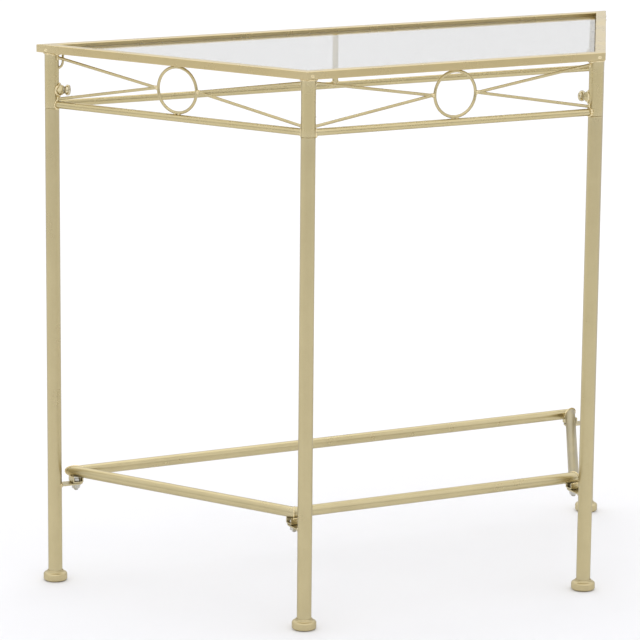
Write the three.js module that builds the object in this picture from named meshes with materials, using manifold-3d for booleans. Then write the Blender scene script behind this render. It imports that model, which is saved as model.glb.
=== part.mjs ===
// Trapezoid console table: a welded gold frame of four rails on corner posts, a recessed clear glass
// pane, an apron of rings and diagonal wires, four plug-in tube legs and a bolted stretcher frame.
// Millimetres, +Z up, +X along the long back edge, +Y towards the back; the origin is on the floor
// below the centre.

import * as THREE from 'three';
import { mergeVertices } from 'three/addons/utils/BufferGeometryUtils.js';
import Module from 'manifold-3d';

// ---------------------------------------------------------------- driving dimensions

const BACK_LENGTH = 870;
const FRONT_LENGTH = 435;
const DEPTH = 360;
const HEIGHT = 730;

const GAP = 0.3;                    // clearance between pieces that touch
const ROUND = 24;                   // sides of a tube or other turned piece
const FINE_ROUND = 12;              // sides of a thin wire

const RAIL_WIDTH = 14;
const RAIL_HEIGHT = 10.5;
const LEDGE_REACH = 8;              // lip that carries the glass, inside the rail
const LEDGE_THICKNESS = 1.2;
const GLASS_THICKNESS = 4;
const GLASS_PLAY = 0.5;             // between the pane's edge and the rails
const GLASS_CHAMFER = 0.5;

const POST_RADIUS = 9.5;
const POST_WALL = 1.3;
const POST_BOTTOM = 646;
const REAR_POST_INSET = 17.5;       // along X from the top's sharp corner to the post's axis
const FRONT_POST_INSET = 7.5;
const POST_INSET_Y = 10;

const APRON_HEIGHT = 651;           // axis of the lower apron rods
const APRON_RADIUS = 4.75;
const WIRE_RADIUS = 2;
const STRUT_RADIUS = 4;
const UPPER_WIRE_DROP = 5;          // upper diagonal's end below the rail
const LOWER_WIRE_RISE = 7;          // lower diagonal's end above the apron rod's axis
const HOOK_WIRE_RADIUS = 1.25;
const HOOK_REACH = 5.2;             // hook's wire outside the post's wall
const HOOK_DROP = 20.5;             // hook's end below the rail

const SPIGOT_RADIUS = 7.9;
const SPIGOT_TOP = 697;
const LEG_BORE = 6.7;
const FOOT_RADIUS = 16;
const FOOT_HEIGHT = 10.5;
const FOOT_COLLAR_RADIUS = 11.2;
const FOOT_COLLAR_TOP = 14;
const FOOT_FLOOR = 3;               // solid base below the leg's end

const SCREW_HEIGHT = 670;
const SCREW_RADIUS = 3;
const SCREW_HOLE = 3.35;
const WELD_NUT_RADIUS = 7;
const WELD_NUT_END = 15.4;          // distance from the post's axis, along the screw
const WASHER_THICKNESS = 1.2;
const WASHER_RADIUS = 7;
const KNOB_RADIUS = 7.2;
const KNOB_LENGTH = 7.4;

const STRETCHER_HEIGHT = 148;       // axis of the stretcher tubes
const STRETCHER_RADIUS = 7.2;
const STRETCHER_WALL = 1.2;

const LUG_REACH = 31;               // leg's axis to the bolt
const LUG_HALF_WIDTH = 9;
const LUG_THICKNESS = 2;
const LUG_TOP = 133;
const BRACKET_LENGTH = 15;
const BRACKET_WIDTH = 16;
const BRACKET_WALL = 1.5;
const BOLT_RADIUS = 3;
const BOLT_HOLE = 3.35;
const BOLT_HEAD_HEIGHT = 3.5;
const HEX_ACROSS_FLATS = 10;
const NUT_HEIGHT = 6;
const NUT_FLANGE_RADIUS = 7.1;
const NUT_FLANGE_THICKNESS = 1.4;
const BOLT_TIP = 2.7;               // bolt below the nut

// ---------------------------------------------------------------- worked-out sizes

const RAIL_BOTTOM = HEIGHT - RAIL_HEIGHT;
const UNDER_RAIL = RAIL_BOTTOM - GAP;
const GLASS_BOTTOM = RAIL_BOTTOM + LEDGE_THICKNESS + GAP;
const APRON_TOP = APRON_HEIGHT + APRON_RADIUS;
const RING_OUTER_RADIUS = (UNDER_RAIL - APRON_TOP - GAP) / 2;
const RING_HEIGHT = UNDER_RAIL - RING_OUTER_RADIUS;
const POST_HOLLOW = POST_RADIUS - POST_WALL;
const LEG_SHOULDER = POST_BOTTOM - GAP;

// trapezoid that is the same left and right, counter-clockwise from its front left corner
const trapezoid = (frontX, frontY, rearX, rearY) => [
  new THREE.Vector2(-frontX, frontY),
  new THREE.Vector2(frontX, frontY),
  new THREE.Vector2(rearX, rearY),
  new THREE.Vector2(-rearX, rearY),
];

const FRONT_POST = [FRONT_LENGTH / 2 - FRONT_POST_INSET, -DEPTH / 2 + POST_INSET_Y];
const REAR_POST = [BACK_LENGTH / 2 - REAR_POST_INSET, DEPTH / 2 - POST_INSET_Y];
const TOP_OUTLINE = trapezoid(FRONT_LENGTH / 2, -DEPTH / 2, BACK_LENGTH / 2, DEPTH / 2);
const STRETCHER_AXES = trapezoid(
  FRONT_POST[0],
  FRONT_POST[1] + LUG_REACH,
  REAR_POST[0] - LUG_REACH,
  REAR_POST[1],
);
const SLANT = Math.atan2(DEPTH, (BACK_LENGTH - FRONT_LENGTH) / 2);   // a side edge against the back edge

// Each corner has its post's axis, the direction of its clamp screw (along the corner's bisector)
// and the direction of the lug on its leg (along the back edge behind, straight back in front).
const CORNERS = ['left', 'right'].flatMap((side) => {
  const sign = side === 'left' ? -1 : 1;
  const turned = (angle) => (side === 'left' ? angle : Math.PI - angle);
  return [
    {
      name: `rear_${side}`,
      post: new THREE.Vector2(sign * REAR_POST[0], REAR_POST[1]),
      screwAngle: turned(-SLANT / 2),
      lugAngle: turned(0),
    },
    {
      name: `front_${side}`,
      post: new THREE.Vector2(sign * FRONT_POST[0], FRONT_POST[1]),
      screwAngle: turned((Math.PI - SLANT) / 2),
      lugAngle: turned(Math.PI / 2),
    },
  ];
});
const postOf = (name) => CORNERS.find((corner) => corner.name === name).post;

// ---------------------------------------------------------------- materials

const finish = (color, roughness, metalness) => ({ color, roughness, metalness });
const GOLD = finish(0xcdb983, 0.38, 0.75);
const ZINC = finish(0xc9c7c0, 0.4, 0.85);
const GLASS = finish(0xe6efee, 0.05, 0);

// ---------------------------------------------------------------- solids

const manifold = await Module();
manifold.setup();

function toSolid(geometry) {
  const bare = geometry.clone();
  bare.deleteAttribute('normal');
  bare.deleteAttribute('uv');
  const merged = mergeVertices(bare, 1e-4);
  return new manifold.Manifold(new manifold.Mesh({
    numProp: 3,
    vertProperties: new Float32Array(merged.attributes.position.array),
    triVerts: new Uint32Array(merged.index.array),
  }));
}

function toGeometry(solid) {
  const { vertProperties, triVerts } = solid.getMesh();
  const geometry = new THREE.BufferGeometry();
  geometry.setAttribute('position', new THREE.BufferAttribute(vertProperties, 3));
  geometry.setIndex(new THREE.BufferAttribute(triVerts, 1));
  geometry.computeVertexNormals();
  return geometry;
}

const join = (...geometries) => toGeometry(geometries.map(toSolid).reduce((a, b) => a.add(b)));
const common = (a, b) => toGeometry(toSolid(a).intersect(toSolid(b)));
const cut = (geometry, ...tools) => (
  toGeometry(tools.map(toSolid).reduce((a, b) => a.subtract(b), toSolid(geometry)))
);

// a piece turned about +Z from [radius, height] points that run up its outside
function turned(profile, sides = ROUND) {
  const points = profile.map(([radius, height]) => new THREE.Vector2(radius, height));
  return new THREE.LatheGeometry(points, sides).rotateX(Math.PI / 2);
}

// the same piece laid down, so that its heights run along +X
const turnedAlongX = (profile, sides) => turned(profile, sides).rotateY(Math.PI / 2);

// upright pipe, closed round its wall
function pipe(outer, inner, bottom, top, sides) {
  return turned([[inner, bottom], [outer, bottom], [outer, top], [inner, top], [inner, bottom]], sides);
}

const point = (x, y, z) => new THREE.Vector3(x, y, z);

// round bar between two points
function bar(from, to, radius, sides = ROUND) {
  const along = new THREE.Vector3().subVectors(to, from);
  const turn = new THREE.Quaternion().setFromUnitVectors(point(0, 1, 0), along.clone().normalize());
  const middle = new THREE.Vector3().addVectors(from, to).multiplyScalar(0.5);
  return new THREE.CylinderGeometry(radius, radius, along.length(), sides)
    .applyQuaternion(turn)
    .translate(middle.x, middle.y, middle.z);
}

const upright = (radius, bottom, top, sides) => bar(point(0, 0, bottom), point(0, 0, top), radius, sides);

function plate(shape, bottom, thickness) {
  const options = { depth: thickness, bevelEnabled: false, curveSegments: ROUND / 2 };
  return new THREE.ExtrudeGeometry(shape, options).translate(0, 0, bottom);
}

function hexagon(bottom, height) {
  const cornerRadius = HEX_ACROSS_FLATS / Math.sqrt(3);
  return upright(cornerRadius, bottom, bottom + height, 6);
}

// ---------------------------------------------------------------- scene graph helpers

function named(name, geometry, look) {
  const mesh = new THREE.Mesh(geometry, new THREE.MeshStandardMaterial(look));
  mesh.name = name;
  return mesh;
}

function placed(x, y, angle, ...children) {
  const group = new THREE.Group();
  group.position.set(x, y, 0);
  group.rotation.z = angle;
  group.add(...children);
  return group;
}

// ---------------------------------------------------------------- top frame and glass

// corner i of an outline moved inwards by the same distance from both its edges
function insetCorner(outline, i, distance) {
  const corner = outline[i];
  const next = outline[(i + 1) % 4].clone().sub(corner).normalize();
  const previous = outline[(i + 3) % 4].clone().sub(corner).normalize();
  const sine = Math.abs(next.cross(previous));
  return corner.clone().add(next.add(previous).multiplyScalar(distance / sine));
}

// plan of one side between two insets, its mitred ends each drawn back by half a gap
function sideStrip(outline, i, outer, inner) {
  const j = (i + 1) % 4;
  const along = outline[j].clone().sub(outline[i]).normalize();
  const end = (k, inset, direction) => {
    const mitre = insetCorner(outline, k, 1).sub(outline[k]).normalize();
    const drawBack = direction * GAP / 2 / Math.abs(along.cross(mitre));
    return insetCorner(outline, k, inset).addScaledVector(along, drawBack);
  };
  return new THREE.Shape([end(i, outer, 1), end(j, outer, -1), end(j, inner, -1), end(i, inner, 1)]);
}

function topRail(name, i) {
  const rail = plate(sideStrip(TOP_OUTLINE, i, 0, RAIL_WIDTH), RAIL_BOTTOM, RAIL_HEIGHT);
  const lip = sideStrip(TOP_OUTLINE, i, RAIL_WIDTH / 2, RAIL_WIDTH + LEDGE_REACH);
  const ledge = plate(lip, RAIL_BOTTOM, LEDGE_THICKNESS);
  return named(name, join(rail, ledge), GOLD);
}

function glassPane() {
  const inset = RAIL_WIDTH + GLASS_PLAY + GLASS_CHAMFER;
  const plan = new THREE.Shape(TOP_OUTLINE.map((_, i) => insetCorner(TOP_OUTLINE, i, inset)));
  const pane = new THREE.ExtrudeGeometry(plan, {
    depth: GLASS_THICKNESS - 2 * GLASS_CHAMFER,
    bevelSize: GLASS_CHAMFER,
    bevelThickness: GLASS_CHAMFER,
    bevelSegments: 1,
  });
  return named('glass_pane', pane.translate(0, 0, GLASS_BOTTOM + GLASS_CHAMFER), GLASS);
}

// ---------------------------------------------------------------- apron

const postClearance = (x) => upright(POST_RADIUS + GAP, APRON_HEIGHT - 20, HEIGHT).translate(x, 0, 0);

// one pair of diagonals that meet at the ring and end on the post at x
function diagonalWire(name, span, postX, apexX) {
  const apex = point(apexX, 0, RING_HEIGHT);
  const upper = point(postX, 0, UNDER_RAIL - UPPER_WIRE_DROP);
  const lower = point(postX, 0, APRON_HEIGHT + LOWER_WIRE_RISE);
  const strand = (end) => bar(end, apex, WIRE_RADIUS, FINE_ROUND);
  const wire = join(strand(upper), strand(lower));
  const rod = bar(point(0, 0, APRON_HEIGHT), point(span, 0, APRON_HEIGHT), APRON_RADIUS + GAP);
  return named(name, cut(wire, postClearance(postX), rod), GOLD);
}

function ring(name, middle) {
  const torus = new THREE.TorusGeometry(RING_OUTER_RADIUS - WIRE_RADIUS, WIRE_RADIUS, 8, 32);
  const mesh = named(name, torus.rotateX(Math.PI / 2), GOLD);
  mesh.position.set(middle, 0, RING_HEIGHT);
  return mesh;
}

// Everything between two posts, in a frame with +X from the first post's axis to the second's.
function apronSide(side, from, to, decorated) {
  const span = from.distanceTo(to);
  const angle = to.clone().sub(from).angle();
  const bare = bar(point(0, 0, APRON_HEIGHT), point(span, 0, APRON_HEIGHT), APRON_RADIUS);
  const pieces = [named(`apron_rod_${side}`, cut(bare, postClearance(0), postClearance(span)), GOLD)];
  if (decorated) {
    const middle = span / 2;
    const reach = RING_OUTER_RADIUS + GAP + WIRE_RADIUS / 4;
    pieces.push(ring(`apron_ring_${side}`, middle));
    pieces.push(diagonalWire(`apron_wire_${side}_a`, span, 0, middle - reach));
    pieces.push(diagonalWire(`apron_wire_${side}_b`, span, span, middle + reach));
  } else {
    const rod = bar(point(0, 0, APRON_HEIGHT), point(span, 0, APRON_HEIGHT), APRON_RADIUS + GAP);
    const strut = upright(STRUT_RADIUS, APRON_HEIGHT, UNDER_RAIL, 16).translate(span / 2, 0, 0);
    pieces.push(named('apron_strut_back', cut(strut, rod), GOLD));
  }
  return placed(from.x, from.y, angle, ...pieces);
}

// ---------------------------------------------------------------- corners: post, clamp, leg, foot, lug

function cornerPost(name) {
  const tube = pipe(POST_RADIUS, POST_HOLLOW, POST_BOTTOM, UNDER_RAIL);
  const hole = bar(point(0, 0, SCREW_HEIGHT), point(POST_RADIUS + 2, 0, SCREW_HEIGHT), SCREW_HOLE, 16);
  return named(`corner_post_${name}`, cut(tube, hole), GOLD);
}

// flanged nut welded to the post, its saddle cut to the post's round
function weldNut(name) {
  const profile = [
    [SCREW_HOLE, POST_RADIUS - 3],
    [WELD_NUT_RADIUS + 1.8, POST_RADIUS - 3],
    [WELD_NUT_RADIUS + 1.8, POST_RADIUS + 0.6],
    [WELD_NUT_RADIUS, POST_RADIUS + 3],
    [WELD_NUT_RADIUS, WELD_NUT_END - 0.5],
    [WELD_NUT_RADIUS - 0.5, WELD_NUT_END],
    [SCREW_HOLE, WELD_NUT_END],
    [SCREW_HOLE, POST_RADIUS - 3],
  ];
  const nut = turnedAlongX(profile).translate(0, 0, SCREW_HEIGHT);
  return named(`weld_nut_${name}`, cut(nut, postClearance(0)), GOLD);
}

function clampWasher(name) {
  const start = WELD_NUT_END + GAP;
  const end = start + WASHER_THICKNESS;
  const hole = SCREW_RADIUS + GAP;
  const profile = [[hole, start], [WASHER_RADIUS, start], [WASHER_RADIUS, end], [hole, end], [hole, start]];
  const mesh = named(`clamp_washer_${name}`, turnedAlongX(profile), GOLD);
  mesh.position.z = SCREW_HEIGHT;
  return mesh;
}

// screw with a mushroom head and a hexagon socket, its tip against the leg's spigot
function clampScrew(name) {
  const tip = SPIGOT_RADIUS + GAP;
  const headStart = WELD_NUT_END + WASHER_THICKNESS + 2 * GAP;
  const headEnd = headStart + KNOB_LENGTH;
  const profile = [
    [0, tip],
    [SCREW_RADIUS - 0.6, tip],
    [SCREW_RADIUS, tip + 0.6],
    [SCREW_RADIUS, headStart],
    [KNOB_RADIUS - 1.6, headStart],
    [KNOB_RADIUS, headStart + 2.2],
    [KNOB_RADIUS, headEnd - 2],
    [KNOB_RADIUS - 1.6, headEnd - 0.5],
    [KNOB_RADIUS - 3.2, headEnd],
    [0, headEnd],
  ];
  const socket = new THREE.CylinderGeometry(2.3, 2.3, 6, 6).rotateZ(Math.PI / 2).translate(headEnd, 0, 0);
  const mesh = named(`clamp_screw_${name}`, cut(turnedAlongX(profile, 20), socket), GOLD);
  mesh.position.z = SCREW_HEIGHT;
  return mesh;
}

// small hook of wire: straight down from the rail, then bent in to the post above the clamp
function wireHook() {
  const path = new THREE.CatmullRomCurve3([
    point(POST_RADIUS + HOOK_REACH, 0, UNDER_RAIL),
    point(POST_RADIUS + HOOK_REACH, 0, UNDER_RAIL - 0.35 * HOOK_DROP),
    point(POST_RADIUS + 0.9 * HOOK_REACH, 0, UNDER_RAIL - 0.65 * HOOK_DROP),
    point(POST_RADIUS + 0.4 * HOOK_REACH, 0, UNDER_RAIL - 0.9 * HOOK_DROP),
    point(POST_RADIUS - 1, 0, UNDER_RAIL - HOOK_DROP),
  ]);
  const section = new THREE.Shape().absarc(0, 0, HOOK_WIRE_RADIUS, 0, 2 * Math.PI);
  const wire = new THREE.ExtrudeGeometry(section, { steps: 12, extrudePath: path, curveSegments: 5 });
  return named('wire_hook_rear_left', cut(wire, postClearance(0)), GOLD);
}

// straight tube with a reduced spigot that plugs into the post
function leg(name) {
  const bottom = FOOT_FLOOR + GAP;
  const profile = [
    [LEG_BORE, bottom],
    [POST_RADIUS, bottom],
    [POST_RADIUS, LEG_SHOULDER],
    [SPIGOT_RADIUS, LEG_SHOULDER],
    [SPIGOT_RADIUS, SPIGOT_TOP],
    [LEG_BORE, SPIGOT_TOP],
    [LEG_BORE, bottom],
  ];
  return named(`leg_${name}`, turned(profile), GOLD);
}

// round foot with a collar and a socket for the leg's end
function foot(name) {
  const socket = POST_RADIUS + GAP;
  const profile = [
    [0, 0],
    [FOOT_RADIUS - 1.4, 0],
    [FOOT_RADIUS, 1.4],
    [FOOT_RADIUS, FOOT_HEIGHT - 1.5],
    [FOOT_RADIUS - 1.5, FOOT_HEIGHT],
    [FOOT_COLLAR_RADIUS + 1, FOOT_HEIGHT],
    [FOOT_COLLAR_RADIUS, FOOT_HEIGHT + 1.2],
    [FOOT_COLLAR_RADIUS - 0.6, FOOT_COLLAR_TOP],
    [socket, FOOT_COLLAR_TOP],
    [socket, FOOT_FLOOR],
    [0, FOOT_FLOOR],
  ];
  return named(`foot_${name}`, turned(profile), GOLD);
}

// flat tab welded to the leg, with a round end and a bolt hole
function lug(name) {
  const shape = new THREE.Shape();
  shape.moveTo(0, -LUG_HALF_WIDTH);
  shape.lineTo(LUG_REACH, -LUG_HALF_WIDTH);
  shape.absarc(LUG_REACH, 0, LUG_HALF_WIDTH, -Math.PI / 2, Math.PI / 2);
  shape.lineTo(0, LUG_HALF_WIDTH);
  shape.holes.push(new THREE.Path().absarc(LUG_REACH, 0, BOLT_HOLE, 0, 2 * Math.PI, true));
  const tab = plate(shape, LUG_TOP - LUG_THICKNESS, LUG_THICKNESS);
  return named(`leg_lug_${name}`, cut(tab, upright(POST_RADIUS + GAP, 0, HEIGHT / 2)), GOLD);
}

// channel welded below the stretcher's corner: the bolt's head sits between its two upright walls
function bracket(name) {
  const bottom = LUG_TOP + GAP;
  const top = STRETCHER_HEIGHT - STRETCHER_RADIUS - GAP;
  const base = new THREE.BoxGeometry(BRACKET_LENGTH, BRACKET_WIDTH, BRACKET_WALL)
    .translate(0, 0, bottom + BRACKET_WALL / 2);
  const wallAt = (x) => new THREE.BoxGeometry(BRACKET_WALL, BRACKET_WIDTH, top - bottom)
    .translate(x, 0, (top + bottom) / 2);
  const offset = (BRACKET_LENGTH - BRACKET_WALL) / 2;
  const channel = join(base, wallAt(-offset), wallAt(offset));
  const drilled = cut(channel, upright(BOLT_HOLE, 0, HEIGHT / 2, 16));
  const mesh = named(`stretcher_bracket_${name}`, drilled, GOLD);
  mesh.position.x = LUG_REACH;
  return mesh;
}

// bolt with its head inside the channel and its flanged nut screwed up tight below the lug
function bolt(name) {
  const headBottom = LUG_TOP + 2 * GAP + BRACKET_WALL;
  const nutTop = LUG_TOP - LUG_THICKNESS - GAP;
  const nutBottom = nutTop - NUT_HEIGHT;
  const end = nutBottom - BOLT_TIP;
  const profile = [
    [0, end],
    [BOLT_RADIUS - 0.7, end],
    [BOLT_RADIUS, end + 0.7],
    [BOLT_RADIUS, nutBottom + 1],
    [HEX_ACROSS_FLATS / 2 - 0.2, nutTop - NUT_FLANGE_THICKNESS - 1.2],
    [NUT_FLANGE_RADIUS, nutTop - NUT_FLANGE_THICKNESS],
    [NUT_FLANGE_RADIUS, nutTop],
    [BOLT_RADIUS, nutTop],
    [BOLT_RADIUS, headBottom + 1],
    [0, headBottom + 1],
  ];
  const nut = hexagon(nutBottom, NUT_HEIGHT - NUT_FLANGE_THICKNESS);
  const fastener = join(turned(profile), nut, hexagon(headBottom, BOLT_HEAD_HEIGHT));
  const mesh = named(`stretcher_bolt_${name}`, fastener, ZINC);
  mesh.position.x = LUG_REACH;
  return mesh;
}

function corner({ name, post, screwAngle, lugAngle }) {
  const clamp = [weldNut(name), clampWasher(name), clampScrew(name)];
  const upper = placed(0, 0, screwAngle, cornerPost(name), ...clamp);
  const lower = placed(0, 0, lugAngle, leg(name), lug(name), bracket(name), bolt(name));
  if (name === 'rear_left') {
    upper.add(wireHook());
  }
  return placed(post.x, post.y, 0, upper, lower, foot(name));
}

// ---------------------------------------------------------------- stretcher

// one tube of the frame, mitred at both ends
function stretcherTube(name, i) {
  const reach = STRETCHER_RADIUS + 1;
  const ends = [i, (i + 1) % 4].map((k) => {
    const { x, y } = STRETCHER_AXES[k];
    return point(x, y, STRETCHER_HEIGHT);
  });
  const overrun = ends[1].clone().sub(ends[0]).setLength(3 * reach);
  const from = ends[0].clone().sub(overrun);
  const to = ends[1].clone().add(overrun);
  const tube = cut(bar(from, to, STRETCHER_RADIUS), bar(from, to, STRETCHER_RADIUS - STRETCHER_WALL));
  const mitred = plate(sideStrip(STRETCHER_AXES, i, -reach, reach), STRETCHER_HEIGHT - reach, 2 * reach);
  return named(`stretcher_tube_${name}`, common(tube, mitred), GOLD);
}

// ---------------------------------------------------------------- assembly

const table = new THREE.Group();
table.add(
  topRail('top_rail_front', 0),
  topRail('top_rail_right', 1),
  topRail('top_rail_back', 2),
  topRail('top_rail_left', 3),
  glassPane(),
  apronSide('left', postOf('rear_left'), postOf('front_left'), true),
  apronSide('front', postOf('front_left'), postOf('front_right'), true),
  apronSide('right', postOf('front_right'), postOf('rear_right'), true),
  apronSide('back', postOf('rear_right'), postOf('rear_left'), false),
  ...CORNERS.map(corner),
  stretcherTube('front', 0),
  stretcherTube('right', 1),
  stretcherTube('back', 2),
  stretcherTube('left', 3),
);

export default table;
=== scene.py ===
# Visual model of the trapezoid console table: welded gold frame, recessed clear glass, plug-in tube legs.
import math
import random

import bmesh
import bpy
from mathutils import Matrix, Vector, noise


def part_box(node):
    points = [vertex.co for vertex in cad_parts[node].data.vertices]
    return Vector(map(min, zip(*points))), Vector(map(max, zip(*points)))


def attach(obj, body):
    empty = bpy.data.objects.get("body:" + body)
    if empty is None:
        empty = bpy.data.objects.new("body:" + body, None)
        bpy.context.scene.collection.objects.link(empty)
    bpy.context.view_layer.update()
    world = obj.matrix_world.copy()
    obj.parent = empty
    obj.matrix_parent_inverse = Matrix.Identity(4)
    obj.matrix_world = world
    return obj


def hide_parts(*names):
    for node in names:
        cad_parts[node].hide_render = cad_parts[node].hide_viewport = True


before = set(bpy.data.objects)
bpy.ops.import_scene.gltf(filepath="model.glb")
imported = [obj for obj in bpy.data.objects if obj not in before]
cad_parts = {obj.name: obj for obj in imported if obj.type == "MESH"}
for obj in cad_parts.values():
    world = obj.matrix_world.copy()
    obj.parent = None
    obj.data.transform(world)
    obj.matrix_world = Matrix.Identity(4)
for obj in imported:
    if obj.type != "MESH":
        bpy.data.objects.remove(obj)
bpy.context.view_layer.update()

MM = 0.001
TABLE = "table"
CORNERS = ("rear_left", "rear_right", "front_left", "front_right")
SCENE = bpy.context.scene
SCENE.view_settings.view_transform = "Standard"

# ------------------------------------------------------------------ places, read from the frame


def middle(node):
    low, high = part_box(node)
    return (Vector(low) + Vector(high)) / 2


POST = {c: Vector((middle(f"leg_{c}").x, middle(f"leg_{c}").y, 0)) for c in CORNERS}
RAIL_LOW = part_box("top_rail_front")[0][2]
RAIL_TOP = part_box("top_rail_front")[1][2]
UNDER_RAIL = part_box("corner_post_front_left")[1][2]
POST_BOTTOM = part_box("corner_post_front_left")[0][2]
LEG_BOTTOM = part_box("leg_front_left")[0][2]
LEG_TOP = POST_BOTTOM - 0.05 * MM
APRON_Z = middle("apron_rod_front").z
RING_Z = middle("apron_ring_front").z
SCREW_Z = middle("clamp_screw_front_left").z
STRETCHER_Z = middle("stretcher_tube_front").z
LUG_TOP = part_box("leg_lug_front_left")[1][2]
R_POST, R_ROD, R_WIRE, R_STRUT, R_STRETCHER = 9.5 * MM, 4.75 * MM, 2 * MM, 4 * MM, 7.2 * MM
RING_RADIUS = (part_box("apron_ring_front")[1][2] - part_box("apron_ring_front")[0][2]) / 2 - R_WIRE
LUG_REACH = 31 * MM

# the rails' outer edge: a short front, a back twice as long, and the depth between them
FRONT_HALF, BACK_HALF, DEPTH_HALF = 217.5 * MM, 435 * MM, 180 * MM
OUTER = [Vector(p) for p in (
    (-FRONT_HALF, -DEPTH_HALF), (FRONT_HALF, -DEPTH_HALF), (BACK_HALF, DEPTH_HALF), (-BACK_HALF, DEPTH_HALF))]
SLANT = math.atan2(2 * DEPTH_HALF, BACK_HALF - FRONT_HALF)


def flat(angle):
    return Vector((math.cos(angle), math.sin(angle), 0))


def mirrored(corner, angle):
    return flat(angle if "left" in corner else math.pi - angle)


SCREW_DIR = {c: mirrored(c, -SLANT / 2 if "rear" in c else (math.pi - SLANT) / 2) for c in CORNERS}
LUG_DIR = {c: mirrored(c, 0 if "rear" in c else math.pi / 2) for c in CORNERS}
STUD = {c: POST[c] + LUG_DIR[c] * LUG_REACH for c in CORNERS}

# ------------------------------------------------------------------ materials


def node_tree(name):
    mat = bpy.data.materials.new(name)
    mat.use_nodes = True
    tree = mat.node_tree
    bsdf = tree.nodes["Principled BSDF"]
    return mat, tree, bsdf


def link(tree, a, b):
    tree.links.new(a, b)


def noise_tex(tree, coords, scale, detail):
    tex = tree.nodes.new("ShaderNodeTexNoise")
    tex.inputs["Scale"].default_value = scale
    tex.inputs["Detail"].default_value = detail
    tex.inputs["Roughness"].default_value = 0.55
    link(tree, coords, tex.inputs["Vector"])
    return tex.outputs["Fac"]


def ramp(tree, fac, stops):
    node = tree.nodes.new("ShaderNodeValToRGB")
    elements = node.color_ramp.elements
    while len(elements) < len(stops):
        elements.new(0.5)
    for element, (place, color) in zip(elements, stops):
        element.position = place
        element.color = (*color, 1)
    link(tree, fac, node.inputs["Fac"])
    return node.outputs["Color"]


def map_range(tree, value, low, high, from_low=0.0, from_high=1.0):
    node = tree.nodes.new("ShaderNodeMapRange")
    node.inputs["From Min"].default_value = from_low
    node.inputs["From Max"].default_value = from_high
    node.inputs["To Min"].default_value = low
    node.inputs["To Max"].default_value = high
    link(tree, value, node.inputs["Value"])
    return node.outputs["Result"]


def mix_color(tree, fac, a, b):
    node = tree.nodes.new("ShaderNodeMix")
    node.data_type = "RGBA"
    for socket, value in ((node.inputs[0], fac), (node.inputs[6], a), (node.inputs[7], b)):
        if isinstance(value, tuple):
            socket.default_value = (*value, 1)
        else:
            link(tree, value, socket)
    return node.outputs[2]


def bump(tree, bsdf, heights):
    """Chains (height socket, strength, distance in metres) into the shader's normal."""
    previous = None
    for height, strength, distance in heights:
        node = tree.nodes.new("ShaderNodeBump")
        node.inputs["Strength"].default_value = strength
        node.inputs["Distance"].default_value = distance
        link(tree, height, node.inputs["Height"])
        if previous is not None:
            link(tree, previous, node.inputs["Normal"])
        previous = node.outputs["Normal"]
    link(tree, previous, bsdf.inputs["Normal"])


METALLIC = 0.95


def gold_paint(name, dark, light, edge, rough, graze=0.62, lumps=0.0):
    """Champagne gold lacquer: cloudy tone, fine flake, orange-peel skin and a painted highlight that lightens
    the edges.
    """
    mat, tree, bsdf = node_tree(name)
    coords = tree.nodes.new("ShaderNodeTexCoord").outputs["Object"]
    cloud = noise_tex(tree, coords, 22, 4)
    flake = noise_tex(tree, coords, 1400, 2)
    peel = noise_tex(tree, coords, 420, 2)
    wave = noise_tex(tree, coords, 60, 2)
    tone = ramp(tree, cloud, [(0.32, dark), (0.68, light)])
    # the light edge colour serves both the flake and the painted highlight on the edges
    flaked = mix_color(tree, map_range(tree, flake, 0.0, 0.22, 0.35, 0.75), tone, edge)
    # convex edges are mixed towards the light edge colour: a painted highlight along them
    pointy = tree.nodes.new("ShaderNodeNewGeometry").outputs["Pointiness"]
    edge_highlight_mask = map_range(tree, pointy, 0.0, 0.45, 0.51, 0.6)
    link(tree, mix_color(tree, edge_highlight_mask, flaked, edge), bsdf.inputs["Base Color"])
    link(tree, map_range(tree, cloud, rough - 0.05, rough + 0.07, 0.3, 0.7), bsdf.inputs["Roughness"])
    bsdf.inputs["Metallic"].default_value = METALLIC
    bsdf.inputs["Specular IOR Level"].default_value = 0.5
    bsdf.inputs["Specular Tint"].default_value = (graze, graze * 1.02, graze * 1.08, 1)
    bsdf.inputs["Coat Weight"].default_value = 0.08
    bsdf.inputs["Coat Roughness"].default_value = 0.22
    heights = [(wave, 0.07, 0.00004), (peel, 0.08, 0.00002)]
    if lumps:
        heights.append((noise_tex(tree, coords, 260, 3), lumps, 0.0005))
    bump(tree, bsdf, heights)
    return mat


GOLD = gold_paint("gold_paint", (0.53, 0.45, 0.25), (0.59, 0.505, 0.285), (0.67, 0.595, 0.395), 0.31)
GOLD_TOP = gold_paint("gold_paint_frame", (0.56, 0.47, 0.25), (0.62, 0.525, 0.285), (0.71, 0.63, 0.415), 0.26)
GOLD_FOOT = gold_paint("gold_paint_foot", (0.56, 0.47, 0.26), (0.62, 0.53, 0.30), (0.71, 0.63, 0.43), 0.36)
# the rails get the lightest edge colour, so their edges carry the strongest painted highlight
GOLD_RAIL = gold_paint(
    "gold_paint_rail", (0.56, 0.45, 0.225), (0.61, 0.495, 0.25), (0.76, 0.66, 0.42), 0.28, graze=1.0)
# welds carry the same paint as the frame, coloured much lighter here: a painted highlight on the beads and
# spots
WELD_PAINTED_HIGHLIGHT = gold_paint(
    "gold_paint_weld_painted_highlight", (0.76, 0.62, 0.33), (0.86, 0.74, 0.46), (0.93, 0.85, 0.62), 0.26, lumps=0.5)
ZINC_GOLD = gold_paint("gold_plated_screw", (0.62, 0.54, 0.34), (0.76, 0.67, 0.45), (0.90, 0.83, 0.64), 0.2)


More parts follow.
